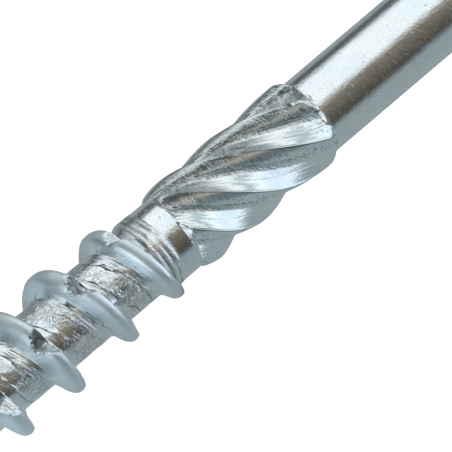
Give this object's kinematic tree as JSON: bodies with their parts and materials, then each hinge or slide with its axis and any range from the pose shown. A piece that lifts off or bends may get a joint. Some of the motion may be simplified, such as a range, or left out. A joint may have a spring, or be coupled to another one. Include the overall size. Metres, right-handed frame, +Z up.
{
  "type": "timber screw",
  "caption": "Countersunk timber screw with a six-lobe drive, a smooth shank, twisted reamer ribs and a coarse notched thread running to a gimlet point.",
  "frame": {"origin": "centre of the head's flat face, on the screw's axis", "axes": "+X along the screw's axis from the head to the point; +Z up, with the screw lying on its side; the screw is round, so Y and Z differ only in where the thread starts"},
  "size_m": [0.12, 0.0185, 0.0184],
  "materials": {
    "zinc_steel": "bright blue-white zinc plating over rolled steel"
  },
  "bodies": {
    "root": {"timber_screw": "zinc_steel"}
  },
  "joints": []
}
